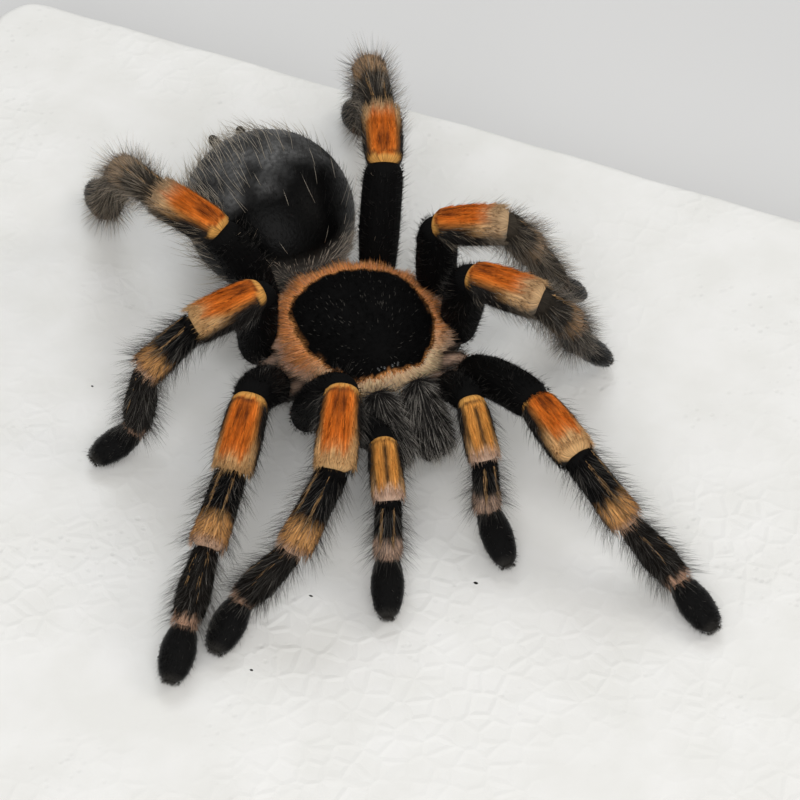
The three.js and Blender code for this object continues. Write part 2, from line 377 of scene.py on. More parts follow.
class Coat:
    """Hairs as closed three-sided spikes, gathered into one mesh."""

    def __init__(self):
        self.vertices, self.faces, self.tints, self.count = [], [], [], 0

    def _sides(self, way):
        other = unit(np.cross(way, unit(rng.normal(size=way.shape))))
        third = np.cross(way, other)
        turns = [i * math.tau / 3 for i in range(3)]
        return [math.cos(a) * other + math.sin(a) * third for a in turns]

    def _take(self, points, faces, tints):
        per = points.shape[1]
        base = self.count + per * np.arange(len(points))[:, None, None]
        self.vertices.append(points.reshape(-1, 3))
        self.faces.append((np.array(faces)[None] + base).reshape(-1, 3))
        self.tints.append(tints.reshape(-1, 3))
        self.count += per * len(points)

    def straight(self, root, way, length, width, tint, tip_tint):
        points = [root + side * width[:, None] / 2 for side in self._sides(way)]
        points.append(root + way * length[:, None])
        tints = np.stack([tint, tint, tint, tip_tint], axis=1)
        self._take(np.stack(points, axis=1), [(0, 2, 1), (0, 1, 3), (1, 2, 3), (2, 0, 3)], tints)

    def bent(self, root, way, tip_way, length, width, tint, tip_tint):
        sides = self._sides(way)
        middle = root + way * length[:, None] * 0.5
        points = [root + side * width[:, None] / 2 for side in sides]
        points += [middle + side * width[:, None] * 0.38 for side in sides]
        points.append(middle + tip_way * length[:, None] * 0.5)
        tints = np.stack([tint] * 3 + [(tint + tip_tint) / 2] * 3 + [tip_tint], axis=1)
        faces = [(0, 2, 1)]
        for i in range(3):
            j = (i + 1) % 3
            faces += [(i, j, j + 3), (i, j + 3, i + 3), (i + 3, j + 3, 6)]
        self._take(np.stack(points, axis=1), faces, tints)

    def make(self, name, material, slot):
        vertices, faces = np.concatenate(self.vertices), np.concatenate(self.faces)
        piece = make_object(name, material, vertices, faces, np.concatenate(self.tints))
        return piece


def vary(colour, n, low=0.6, high=1.4):
    return np.asarray(colour) * rng.uniform(low, high, (n, 1))


# ---------------------------------------------------------------- limbs

# how thick each part is along its length, as a share of its radius
PROFILES = {
    "coxa": ((0, 0.8), (0.5, 1.0), (0.9, 1.0), (1, 0.86)),
    "femur": ((0, 0.76), (0.1, 0.88), (0.4, 1.0), (0.8, 0.99), (0.95, 0.94), (1, 0.84)),
    "patella": ((0, 0.82), (0.1, 0.93), (0.4, 1.0), (0.8, 1.0), (0.94, 0.96), (1, 0.84)),
    "tibia": ((0, 0.76), (0.1, 0.83), (0.5, 0.88), (0.85, 0.97), (0.96, 0.93), (1, 0.8)),
    "metatarsus": ((0, 0.74), (0.1, 0.82), (0.45, 1.04), (0.65, 1.08), (0.88, 0.92), (1, 0.72)),
    "tarsus": ((0, 0.6), (0.12, 0.8), (0.4, 1.0), (0.62, 0.95), (0.82, 0.77), (0.94, 0.54), (1, 0.32)),
}
FEMUR_ARCH = 0.045


class Segment:
    """One limb segment, with its skin given by t along it and an angle from its upper side."""

    def __init__(self, part, start, along, upper, length, radius, overlaps=(0.3, 0.3)):
        self.part, self.start, self.length, self.radius = part, start, length, radius
        self.along, self.upper, self.side = along, upper, np.cross(along, upper)
        self.overlaps = overlaps
        self.profile = np.array(PROFILES[part])
        pad = part == "tarsus"
        self.breadth, self.depth = (PAD_BREADTH, PAD_DEPTH) if pad else (1.0, 0.97)
        self.arch = FEMUR_ARCH * length if part == "femur" else 0.0

    def skin_radius(self, t):
        share = sum(np.interp(t + d, self.profile[:, 0], self.profile[:, 1]) for d in (-0.04, 0, 0.04))
        return LIMB_FIT * self.radius * share / 3

    def point(self, t, angle, shrink=1.0):
        r = self.skin_radius(t) * shrink
        rise = np.cos(angle) * r * self.depth + self.arch * 4 * t * (1 - t)
        along = (t * self.length)[..., None] * self.along
        across = (np.sin(angle) * r * self.breadth)[..., None] * self.side
        return self.start + along + rise[..., None] * self.upper + across

    def normal(self, angle):
        up = np.cos(angle)[..., None] * self.upper * self.breadth
        return unit(up + np.sin(angle)[..., None] * self.side * self.depth)

    def make_skin(self, name, tint, rows=24, columns=28):
        s = np.linspace(0, 1, rows)
        first, last = -self.overlaps[0] / self.length, 1 + self.overlaps[1] / self.length
        t = first + (last - first) * (0.5 - 0.5 * np.cos(math.pi * s))
        end = np.sqrt(np.clip(1 - np.abs(2 * (t - first) / (last - first) - 1) ** 12, 0, 1))
        end[0] = end[-1] = 0
        angle = np.linspace(0, 2 * math.pi, columns, endpoint=False)
        tt, aa = np.meshgrid(t, angle, indexing="ij")
        vertices, faces, corners = closed_rings(self.point(tt, aa, end[:, None]))
        material = PAD if self.part == "tarsus" else SKIN
        return make_object(name, material, vertices, faces, ring_values(tint(tt, aa)), corners)


def patella_tint(t, turn, ragged, palp):
    """Orange on top, or amber on a palp, with dark lines, an amber near rim, a tan far end and flanks."""
    far = smooth(0.78, 0.92, t + ragged)
    flank = 1 - smooth(1.1, 1.6, turn + ragged)
    pale = smooth(0.5, 0.9, t + 0.25 * (1 - turn / 2))
    colour = blend(SOOT, blend(OCHRE, TAN, pale), flank * pale)
    crown = 1 - smooth(0.78, 1.12, turn + 2 * ragged + 0.25 * smooth(0.5, 0.9, t))
    middle = AMBER * (1, 0.85, 0.7) if palp else ORANGE
    middle = blend(middle, OCHRE, smooth(0.6, 0.88, t + ragged) * 0.6)
    middle = blend(middle, AMBER, smooth(0.5, 1.0, turn) * 0.6)
    colour = blend(colour, middle, crown * (1 - far))
    if palp:
        lines = bell(turn, 0.19) + 0.9 * bell(turn - 0.82, 0.12)
        lines = lines * smooth(0.08, 0.13, t) * (1 - smooth(0.72, 0.86, t))
    else:
        lines = bell(turn - 0.13 - 0.42 * t, 0.075) + 0.8 * bell(turn - 0.86 + 0.2 * t, 0.08)
        lines = lines + 0.55 * bell(turn, 0.06)
        lines = lines * smooth(0.05, 0.09, t) * (1 - smooth(0.48, 0.76, t))
    colour = blend(colour, SOOT if palp else RUST, np.clip(lines, 0, 1) * 0.9)
    colour = blend(colour, PINK_TAN if palp else TAN, far * (1 - smooth(1.25, 1.8, turn)))
    edge = -0.02 + 0.05 * smooth(0.2, 1.3, turn) + 0.3 * ragged
    seam = bell(t - edge - 0.05, 0.022) * (1 - smooth(1.0, 1.5, turn))
    colour = blend(colour, SOOT, seam * 0.75)
    rim = (1 - smooth(edge, edge + 0.03, t)) * (1 - smooth(1.1, 1.6, turn))
    return blend(colour, AMBER, rim * 0.95)


def limb_tint(part, t, angle, palp=False, faded=0.0):
    """The colour of a limb at t from 0 at its near end to 1, and at an angle from its upper side."""
    turn = np.abs((angle + math.pi) % (2 * math.pi) - math.pi)
    ragged = 0.03 * np.sin(7 * angle + 1.3) + 0.025 * np.sin(17 * angle)
    if part == "coxa":
        top = 1 - smooth(0.9, 1.7, turn)
        stripes = 0.5 + 0.5 * np.sin(5 * angle + 9 * t)
        return blend(SOOT, PINK_TAN, smooth(0.4, 0.85, t) * top * stripes)
    if part == "femur":
        rim = (1 - smooth(0.02, 0.06, t)) * (1 - smooth(0.8, 1.5, turn))
        return blend(BLACK, PINK_TAN, rim * 0.7)
    if part == "patella":
        return blend(patella_tint(t, turn, ragged, palp), DUST, faded * 0.6 * smooth(0.6, 0.95, t))
    if part == "tibia":
        wrap = 1 - 0.8 * smooth(1.5, 2.2, turn)
        band = smooth(0.54, 0.7, t + ragged) * wrap
        colour = blend(BLACK * 1.4, PINK_TAN * 0.9 if palp else OCHRE, band)
        colour = blend(colour, PINK_TAN, smooth(0.86, 0.96, t) * wrap * 0.8)
        return blend(colour, DUST * (0.3 + 0.7 * band[..., None]), faded * (0.45 + 0.4 * band))
    if part == "metatarsus":
        band = smooth(0.85, 0.93, t + ragged) * (1 - 0.7 * smooth(1.4, 2.1, turn))
        colour = blend(blend(BLACK * 1.6, BROWN, 0.14), PINK_TAN * (1.0, 0.92, 0.85), band)
        return blend(colour, DUST * 0.32, faded * 0.6)
    return blend(BLACK * 1.2, GREY * 0.3, smooth(0.82, 1.0, t) * 0.6)


# hairs on each part: how many, how long, how thick, and their lean from upright in degrees
SHORT = {
    "coxa": (260, 0.8, 0.08, 60),
    "femur": (1900, 0.55, 0.09, 42),
    "patella": (2900, 1.3, 0.078, 78),
    "tibia": (2100, 1.2, 0.075, 74),
    "metatarsus": (1800, 1.1, 0.075, 72),
    "tarsus": (1500, 0.36, 0.07, 38),
}
LONG = {
    "coxa": (90, 1.8, 0.06, 55),
    "femur": (320, 1.9, 0.042, 32),
    "patella": (380, 2.8, 0.045, 48),
    "tibia": (860, 3.6, 0.044, 40),
    "metatarsus": (860, 3.3, 0.044, 40),
    "tarsus": (120, 1.0, 0.04, 40),
}
PALE_SHARE = {"coxa": 0.75, "femur": 0.04}
STREAKS = {"tibia": 70, "metatarsus": 16}
FADED = {"leg_left_2": 0.5, "leg_left_3": 0.8, "leg_right_4": 0.9, "leg_left_4": 0.6}


def lean_ways(segment, angle, degrees, spread):
    normal = segment.normal(angle)
    lean = np.radians(degrees + rng.normal(0, 7, len(angle)))[:, None]
    sway = rng.normal(0, spread, (len(angle), 1)) * np.cross(segment.along, normal)
    return unit(np.cos(lean) * normal + np.sin(lean) * segment.along + sway)


def add_short(coat, segment, palp, faded):
    count, length, width, lean = SHORT[segment.part]
    n = int(count * (0.66 if palp else 1.0))
    first = 0.7 if segment.part == "coxa" else 0.0
    t, angle = rng.uniform(first, 0.99, n), rng.uniform(-math.pi, math.pi, n)
    tint = limb_tint(segment.part, t, angle, palp, faded) * rng.uniform(0.6, 1.35, (n, 1))
    size, thickness = length * rng.uniform(0.7, 1.25, n), width * rng.uniform(0.75, 1.3, n)
    way = lean_ways(segment, angle, lean, 0.05 if segment.part == "patella" else 0.1)
    root = segment.point(t, angle, SHORT_ROOT)
    coat.straight(root, way, size, thickness, tint * 0.8, tint * 1.15)


def add_long(coat, segment, palp, faded):
    part = segment.part
    count, length, width, lean = LONG[part]
    n = int(count * (0.66 if palp else 1.0) * (1 + 0.4 * faded))
    t = rng.uniform(0.75 if part == "coxa" else 0.03, 0.98, n)
    angle = rng.uniform(-math.pi, math.pi, n)
    if part == "patella":
        angle = rng.choice([-1, 1], n) * rng.uniform(0.95, math.pi, n)
    pale = rng.uniform(0, 1, n) < PALE_SHARE.get(part, 0.15 + 0.4 * faded)
    bleached = blend(GREY * 1.2, DUST * 1.1, faded)
    tint = np.where(pale[:, None], bleached * 0.35, SOOT) * rng.uniform(0.6, 1.4, (n, 1))
    tip = np.where(pale[:, None], bleached * 1.6, GREY * 0.5)
    way = lean_ways(segment, angle, lean, 0.2)
    tip_way = unit(way + rng.uniform(0.1, 0.6, (n, 1)) * segment.along)
    size, thickness = length * rng.uniform(0.45, 1.35, n), np.full(n, width)
    root = segment.point(t, angle, LONG_ROOT)
    a, b = slice(0, n // 2), slice(n // 2, n)
    coat.bent(root[a], way[a], tip_way[a], size[a], thickness[a], tint[a], tip[a])
    coat.straight(root[b], way[b], size[b], thickness[b], tint[b], tip[b])


def add_tuft(coat, segment, n=110):
    """The hairs that close over the foot's blunt tip and hide its claws."""
    angle, inward = rng.uniform(-math.pi, math.pi, n), np.sqrt(rng.uniform(0, 0.95, n))
    splay = 0.5 * inward[:, None] * segment.normal(angle) + rng.normal(0, 0.15, (n, 3))
    root = segment.point(np.full(n, TIP_ROOT), angle, inward)
    tint = vary(GREY * 0.4, n)
    size = rng.uniform(0.3, 0.6, n)
    coat.straight(root, unit(segment.along + splay), size, np.full(n, 0.08), tint * 0.4, tint)


def add_streaks(coat, segment):
    """Pale hairs lying lengthwise in two lines on the upper side."""
    n = STREAKS[segment.part]
    t = rng.uniform(0.04, 0.62, n)
    angle = rng.choice([-1, 1], n) * rng.normal(0.46, 0.06, n)
    way = lean_ways(segment, angle, 84, 0.04)
    size, tint = rng.uniform(1.4, 2.8, n), vary(TAN * 0.7, n)
    root = segment.point(t, angle, STREAK_ROOT)
    coat.straight(root, way, size, np.full(n, 0.085), tint, tint)


def build_limb(name):
    kind, side, *number = name.split("_")
    palp = kind == "palp"
    key = "palp" if palp else number[0]
    out, back = HIPS.get(f"{side}_{key}", HIPS[key])
    hip = np.array([out if side == "left" else -out, back, -HIP_DROP])
    joint, inner = body_place(hip), body_place(hip * (0.35, 0.35, 2.6))
    along = unit(joint - inner)
    upper = unit(np.cross(np.cross(along, (0, 0, 1)), along))
    reach = np.linalg.norm(joint - inner)
    coxa = Segment("coxa", inner, along, upper, reach, COXA_RADIUS * (0.78 if palp else 1.0))
    skin = coxa.make_skin(f"{name}_coxa_skin", lambda t, a: limb_tint("coxa", t, a))

    pile, bristles = Coat(), Coat()
    add_short(pile, coxa, palp, 0)
    add_long(bristles, coxa, palp, 0)
    parts, radii = (PALP_PARTS, PALP_RADII) if palp else (LEG_PARTS, LEG_RADII)
    ways = [along] + [heading(*pose) for pose in POSES[name]]
    bends = [math.acos(np.clip(a @ b, -1, 1)) for a, b in zip(ways, ways[1:])] + [0.0]
    faded = FADED.get(name, 0.0)
    for i, (part, pose, length, radius) in enumerate(zip(parts, POSES[name], LENGTHS[key], radii)):
        overlaps = [0.25 + 0.6 * radius * math.tan(bend / 4) for bend in bends[i : i + 2]]
        if part == "tarsus":
            overlaps[1] = 0.0
        upper = heading(pose[0], pose[1] + 90)
        segment = Segment(part, joint, heading(*pose), upper, length, radius, overlaps)

        def tint(t, angle, part=part):
            return limb_tint(part, t, angle, palp, faded)

        skin = segment.make_skin(f"{name}_{part}_skin", tint)
        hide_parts(f"{name}_{part}")
        add_short(pile, segment, palp, faded)
        add_long(bristles, segment, palp, faded)
        if part in STREAKS:
            add_streaks(pile, segment)
        if part == "tarsus":
            add_tuft(pile, segment)
        joint = joint + segment.along * length
    pile.make(f"{name}_pile", PILE, "tibia")
    bristles.make(f"{name}_bristles", HAIR, "tibia")


for limb_name in POSES:
    build_limb(limb_name)

# ---------------------------------------------------------------- hair on moulded bodies


def ball_points(n, keep):
    """n random unit points for which keep(point) holds."""
    points = np.zeros((0, 3))
    while len(points) < n:
        more = unit(rng.normal(size=(4 * n, 3)))
        points = np.vstack([points, more[keep(more)]])
    return points[:n]


def likely(share):
    return rng.uniform(0, 1, len(share)) < share


def surface_normals(reshape, ball):
    """Outward normals of a moulded surface at unit points, from two small steps on the ball."""
    east = unit(np.cross(ball, [0.0, 1.0, 0.03]))
    north = np.cross(ball, east)
    a = reshape(unit(ball + 0.01 * east)) - reshape(unit(ball - 0.01 * east))
    b = reshape(unit(ball + 0.01 * north)) - reshape(unit(ball - 0.01 * north))
    normal = unit(np.cross(a, b))
    return normal * np.sign(dots(normal, ball))


def add_body_hairs(coat, reshape, transform, ball, flow, lean, length, width, tint, tip, bend=None):
    """Hairs on a moulded surface, leaning from its normal towards the flow direction."""
    n = len(ball)
    normal = surface_normals(reshape, ball)
    root = reshape(ball) - normal * BODY_ROOT
    flow = np.broadcast_to(np.asarray(flow, float), (n, 3))
    flow = unit(flow - dots(flow, normal) * normal)
    angle = np.radians(lean + rng.normal(0, 8, n))[:, None]
    way = unit(np.cos(angle) * normal + np.sin(angle) * flow + rng.normal(0, 0.1, (n, 3)))
    bowed = unit(way + (bend or 0) * flow)
    start, one, two = np.split(transform(np.vstack([root, root + way, root + bowed])), 3)
    if bend is None:
        coat.straight(start, one - start, length, width, tint, tip)
    else:
        coat.bent(start, one - start, two - start, length, width, tint, tip)


# ---------------------------------------------------------------- the shield


def carapace_shape(ball):
    x, y, z = ball[..., 0], ball[..., 1], ball[..., 2]
    rim = 1 - 0.12 * smooth(0.1, 1, -y)
    head = 0.82 + 0.22 * bell(y + 0.5, 0.4)
    pit = 0.2 * np.exp(-((y - 0.25) ** 2) / 0.006 - x**2 / 0.02)
    mound = 1.1 * np.exp(-((y + 0.86) ** 2) / 0.012 - x**2 / 0.04)
    bearing, away = np.arctan2(x, y - 0.25), np.hypot(x, y - 0.25)
    rays = smooth(0.12, 0.35, away) * (1 - smooth(0.6, 0.95, away))
    grooves = 0.03 * np.cos(8 * bearing) ** 8 * rays
    wide = np.sign(x) * np.abs(x) ** 0.85 * rim * CARAPACE[0] / 2
    long = np.sign(y) * np.abs(y) ** np.where(y < 0, 0.8, 1.0) * CARAPACE[1] / 2
    dome = 1.6 + z * (head - pit - grooves) * (CARAPACE[2] - 1.6) + mound * z
    face = 1.6 + z * (0.6 + 2.2 * smooth(0.55, 0.9, -y))
    return np.stack([wide, long, np.where(z > 0, dome, face)], axis=-1)


def fringe_start(ball):
    """Where the pale ring begins, as a share of the way to the rim: wide behind, narrow in front."""
    bearing = np.abs(np.arctan2(ball[..., 0], ball[..., 1]))
    narrow = 0.06 * smooth(0.1, 0.9, ball[..., 0]) + 0.14 * smooth(1.8, 2.5, bearing)
    waves = 0.02 * np.sin(7 * bearing + 0.8) + 0.012 * np.sin(17 * bearing)
    return 0.75 + narrow - 0.05 * (1 - smooth(0.3, 1.2, bearing)) + waves


def carapace_tint(ball):
    edge = np.hypot(ball[..., 0], ball[..., 1])
    start = fringe_start(ball)
    depth = (edge - start) / (1 - start)
    colour = blend(BLACK, FOX * 0.8, smooth(0, 0.2, depth))
    colour = blend(colour, PINK_TAN * 0.8, smooth(0.2, 1.0, depth))
    return blend(colour, SOOT * 0.6, smooth(0.1, 0.3, -ball[..., 2]))


shield = moulded("carapace_skin", VELVET, 72, 60, carapace_shape, body_place, carapace_tint)
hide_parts("carapace")


def on_black(ball):
    return (ball[:, 2] > 0.02) & (np.hypot(ball[:, 0], ball[:, 1]) < fringe_start(ball) + 0.02)


def make_carapace_pile(n=9500):
    coat = Coat()
    ball = ball_points(n, on_black)
    tint = vary(BLACK * 1.3, n)
    ahead = 0.25 - ball[:, 1]
    furrow = np.abs(np.abs(ball[:, 0]) * 0.85 - ahead * 0.52)
    along_furrow = smooth(0, 0.1, ahead) * (1 - smooth(0.4, 0.6, ahead))
    speck = likely(0.02 + 0.2 * bell(furrow, 0.05) * along_furrow)[:, None]
    add_body_hairs(
        coat, carapace_shape, body_place, ball, ball * (1, 1, 0) + (0, 0.65, 0), 66,
        rng.uniform(0.45, 0.9, n), rng.uniform(0.07, 0.12, n), tint, np.where(speck, GREY * 1.5, tint),
    )
    coat.make("carapace_pile", PILE, "carapace")


def make_carapace_fringe(n=8200):
    coat = Coat()
    bearing, depth = rng.uniform(-math.pi, math.pi, n), rng.beta(1.7, 1.0, n)
    flat = np.stack([np.sin(bearing), np.cos(bearing)], axis=1)
    start = fringe_start(np.column_stack([flat, np.zeros(n)]))
    radius = start + (0.999 - start) * depth
    ball = unit(np.column_stack([flat * radius[:, None], np.sqrt(1 - radius**2)]))
    front = smooth(1.9, 2.5, np.abs(bearing))
    pale = np.clip(smooth(0.45, 1.0, depth) + rng.uniform(-0.4, 0.4, n), 0, 1)
    tint = blend(vary(FOX, n, 0.5, 1.1), vary(PINK_TAN, n, 0.8, 1.4), pale)
    tint = blend(tint, vary(PEACH, n, 0.75, 1.15), front)
    length = rng.uniform(1.2, 2.8, n) * (1 - 0.3 * front) * (1 + 0.25 * np.sin(13 * bearing))
    lean = 66 - 38 * smooth(0.92, 1.0, radius)
    add_body_hairs(
        coat, carapace_shape, body_place, ball, ball * (1, 1, 0) + (0, 0.3, 0), lean,
        length, rng.uniform(0.07, 0.11, n), tint, tint * 1.15, bend=0.35,
    )
    coat.make("carapace_fringe", PILE, "carapace")


def make_eyes():
    """Eight glossy beads on the mound at the front of the shield."""
    beads = (
        (0.035, -0.885, 0.36), (0.095, -0.89, 0.3), (0.1, -0.83, 0.26), (0.06, -0.815, 0.2),
    )
    vertices, faces, count = [], [], 0
    for x, y, radius in beads:
        for side in (-1, 1):
            seat = unit(np.array([[side * x, y, 0.49]]))
            centre = carapace_shape(seat) + 0.12 * surface_normals(carapace_shape, seat)
            bead, corners, _ = closed_rings(ball_grid(16, 10) * radius)
            vertices.append(body_place(bead + centre))
            faces.append(corners + count)
            count += len(bead)
    material, tree, shader = node_material("eye_gloss", 0.12, 0.6)
    coordinates = tree.nodes.new("ShaderNodeTexCoord")
    noise = add_noise(tree, coordinates.outputs["Object"], 900.0)
    shade = add_range(tree, noise, 0.3, 0.7, 0.004, 0.012)
    tree.links.new(shade, shader.inputs["Base Color"])
    eyes = make_object("eyes", material, np.vstack(vertices), np.vstack(faces))


make_carapace_pile()
make_carapace_fringe()
make_eyes()

# ---------------------------------------------------------------- the underside plate


def sternum_shape(ball):
    depth = np.where(ball[..., 2] > 0, 0.5, STERNUM[2])
    wide, long = ball[..., 0] * STERNUM[0] / 2, ball[..., 1] * STERNUM[1] / 2
    return np.stack([wide, long, ball[..., 2] * depth], axis=-1)


def sternum_tint(ball):
    return np.broadcast_to(SOOT * 1.2, (len(ball), 3))


def make_sternum(n=2200):
    plate = moulded("sternum_skin", SKIN, 40, 28, sternum_shape, body_place, sternum_tint)
    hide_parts("sternum")
    coat = Coat()
    ball = ball_points(n, lambda p: p[:, 2] < 0)
    tint = vary(BROWN, n)
    add_body_hairs(
        coat, sternum_shape, body_place, ball, (0, 1, 0), 60,
        rng.uniform(0.6, 1.3, n), rng.uniform(0.07, 0.1, n), tint, tint * 1.5,
    )
    coat.make("sternum_pile", PILE, "underside")


make_sternum()

# ---------------------------------------------------------------- abdomen and spinnerets


def abdomen_shape(ball):
    fullness = ABDOMEN_FIT * (1 + 0.06 * ball[..., 1])
    wide = ball[..., 0] * fullness * ABDOMEN[0] / 2
    high = ball[..., 2] * fullness * ABDOMEN[2] / 2
    return np.stack([wide, ball[..., 1] * ABDOMEN_FIT * ABDOMEN[1] / 2, high], axis=-1)


def pale_patch(ball):
    """The pale hair low on the front flanks, beside the last pair of legs."""
    return smooth(0.45, 0.75, -ball[..., 1]) * (1 - smooth(0.1, 0.5, ball[..., 2]))


def abdomen_tint(ball):
    x, y, z = ball[..., 0], ball[..., 1], ball[..., 2]
    mottle = np.sin(7 * x + 3 * y) * np.sin(9 * y - 4 * x) + 0.6 * np.sin(17 * x + 2) * np.sin(13 * y)
    # lighter bluish grey on the rear top and blacker in front: partly the grey hair there, partly a
    # painted sheen where the light from behind glints
    grey_hair_and_sheen = smooth(0.05, 0.45, 0.8 * y + 0.3 * z - 0.2 * x + 0.08 * mottle)
    colour = blend(BLACK * 0.5, GREY * (0.6, 0.65, 0.73), grey_hair_and_sheen * (0.65 + 0.35 * mottle))
    return blend(colour, GREY * 0.9, pale_patch(ball) * 0.7)


belly = moulded("abdomen_skin", BELLY, 72, 48, abdomen_shape, abdomen_place, abdomen_tint)
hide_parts("abdomen")


def make_abdomen_pile(n=13000):
    coat = Coat()
    ball = ball_points(n, lambda p: p[:, 1] < 0.97)
    # the pile carries the abdomen's tint, with its painted sheen on the rear top
    tint = abdomen_tint(ball) * rng.uniform(0.5, 1.7, (n, 1))
    add_body_hairs(
        coat, abdomen_shape, abdomen_place, ball, (0, 1, 0), 74,
        rng.uniform(0.45, 0.9, n), rng.uniform(0.07, 0.11, n), tint, tint * 1.3,
    )
    coat.make("abdomen_pile", BELLY_PILE, "abdomen")


def make_abdomen_bristles(n=900, short=1200, fine=900):
    """Long pale hairs, most on the right and the rear, pale tufts on the front flanks, fine dark hairs."""
    coat = Coat()
    ball = ball_points(
        n, lambda p: likely(0.04 + 0.96 * smooth(-0.2, 0.75, 0.75 * p[:, 1] - 0.55 * p[:, 0]))
    )
    tint = vary(GREY * (1.25, 1.2, 1.1), n)
    add_body_hairs(
        coat, abdomen_shape, abdomen_place, ball, (-0.1, 1, 0.1), rng.uniform(50, 82, n),
        rng.uniform(2.6, 6.2, n), np.full(n, 0.08), tint, tint * 2.6, bend=0.35,
    )
    ball = ball_points(short, lambda p: likely(pale_patch(p)))
    tint = vary(GREY * (2.6, 2.4, 2.2), short)
    add_body_hairs(
        coat, abdomen_shape, abdomen_place, ball, (0, 1, 0.3), 62,
        rng.uniform(1.0, 2.2, short), np.full(short, 0.07), tint * 0.6, tint * 1.2, bend=0.3,
    )
    ball = ball_points(fine, lambda p: p[:, 1] > -0.7)
    tint = vary(SOOT, fine)
    add_body_hairs(
        coat, abdomen_shape, abdomen_place, ball, (0, 1, 0), 50,
        rng.uniform(1.2, 2.6, fine), np.full(fine, 0.045), tint, tint * 2, bend=0.3,
    )
    coat.make("abdomen_bristles", HAIR, "abdomen")


def make_spinneret(side, sign):
    rows, columns = 14, 16
    t = 0.5 - 0.5 * np.cos(math.pi * np.linspace(0, 1, rows))
    radius = (1 - 0.35 * t) * np.sqrt(np.clip(1 - np.abs(2 * t - 1) ** 5, 0, 1))
    angle = np.linspace(0, 2 * math.pi, columns, endpoint=False)
    tt, aa = np.meshgrid(t, angle, indexing="ij")
    rr = radius[:, None] * np.ones(columns)
    rings = np.stack([rr * np.cos(aa), tt * SPINNERET_LENGTH, rr * np.sin(aa)], axis=-1)
    vertices, faces, corners = closed_rings(rings)
    vertices = turn_x(turn_z(vertices, -12 * sign), 4) + (sign * 1.7, ABDOMEN[1] / 2 + 0.2, -0.4)
    tint = np.broadcast_to(BLACK, (len(vertices), 3))
    nub = make_object(f"spinneret_{side}_skin", SKIN, abdomen_place(vertices), faces, tint, corners)
    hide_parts(f"spinneret_{side}")


make_abdomen_pile()
make_abdomen_bristles()
make_spinneret("left", 1)
make_spinneret("right", -1)

# ---------------------------------------------------------------- jaws and fangs


def chelicera_shape(ball):
    y = ball[..., 1]
    around = np.hypot(ball[..., 0], ball[..., 2])
    full = np.maximum(around, 1e-6) ** np.where(y > 0, -0.7, -0.45)
    x, z = ball[..., 0] * full, ball[..., 2] * full
    wide = x * CHELICERA[0] / 2 * (0.94 - 0.08 * y) * JAW_FIT
    long = np.sign(y) * np.abs(y) ** 0.8 * CHELICERA[1] / 2
    high = z * CHELICERA[2] / 2 * (1 + 0.12 * y) * JAW_FIT
    return np.stack([wide, long, high], axis=-1)


def chelicera_tint(ball):
    return np.broadcast_to(SOOT, (len(ball), 3))


def make_chelicera(side, sign):
    x, y, z = CHELICERA_PLACE

    def jaw_place(points):
        return body_place(turn_x(np.asarray(points, float), CHELICERA_TURN) + (sign * x, y, z))

    jaw = moulded(
        f"chelicera_{side}_skin", SKIN, 36, 30, chelicera_shape, jaw_place, chelicera_tint
    )
    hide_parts(f"chelicera_{side}")
    coat = Coat()
    for n, low, size, colour, lean in ((3400, -0.9, 1.7, SOOT, 54), (420, -0.1, 3.4, GREY * 1.5, 68)):
        ball = ball_points(n, lambda p: p[:, 2] > low)
        tint = vary(colour, n, 0.4, 1.5)
        add_body_hairs(
            coat, chelicera_shape, jaw_place, ball, (0, -1, -0.25), lean,
            size * rng.uniform(0.6, 1.3, n), np.full(n, 0.05), tint * 0.8, tint * 2, bend=0.35,
        )
    coat.make(f"chelicera_{side}_bristles", HAIR, "chelicera")


def make_fang(side, sign, horn):
    rows, columns = 22, 20
    t = 0.5 - 0.5 * np.cos(math.pi * np.linspace(0, 1, rows))
    radius = 0.85 * (1.05 - 0.85 * t) * np.sqrt(np.clip(1 - np.abs(2 * t - 1) ** 5, 0, 1))
    angle = np.linspace(0, 2 * math.pi, columns, endpoint=False)
    tt, aa = np.meshgrid(t, angle, indexing="ij")
    rr = radius[:, None] * np.ones(columns)
    drop = rr * np.sin(aa) - 3.2 * tt * (1 - tt)
    rings = np.stack([rr * np.cos(aa), tt * FANG_LENGTH, drop], axis=-1)
    vertices, faces, corners = closed_rings(rings)
    x, y, z = FANG_PLACE
    vertices = body_place(turn_x(vertices, FANG_TURN) + (sign * x, y, z))
    fang = make_object(f"fang_{side}_horn", horn, vertices, faces, None, corners)
    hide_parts(f"fang_{side}")


def horn_material():
    material, tree, shader = node_material("fang_horn", 0.2, 0.5)
    coordinates = tree.nodes.new("ShaderNodeTexCoord")
    noise = add_noise(tree, coordinates.outputs["Object"], 700.0)
    colour = add_mix(tree, noise, (0.006, 0.004, 0.004), (0.03, 0.014, 0.009))
    tree.links.new(colour, shader.inputs["Base Color"])
    add_bump(tree, shader, noise, 0.03)
    return material


HORN = horn_material()
for jaw_side, jaw_sign in (("left", 1), ("right", -1)):
    make_chelicera(jaw_side, jaw_sign)
    make_fang(jaw_side, jaw_sign, HORN)

# ---------------------------------------------------------------- foam board


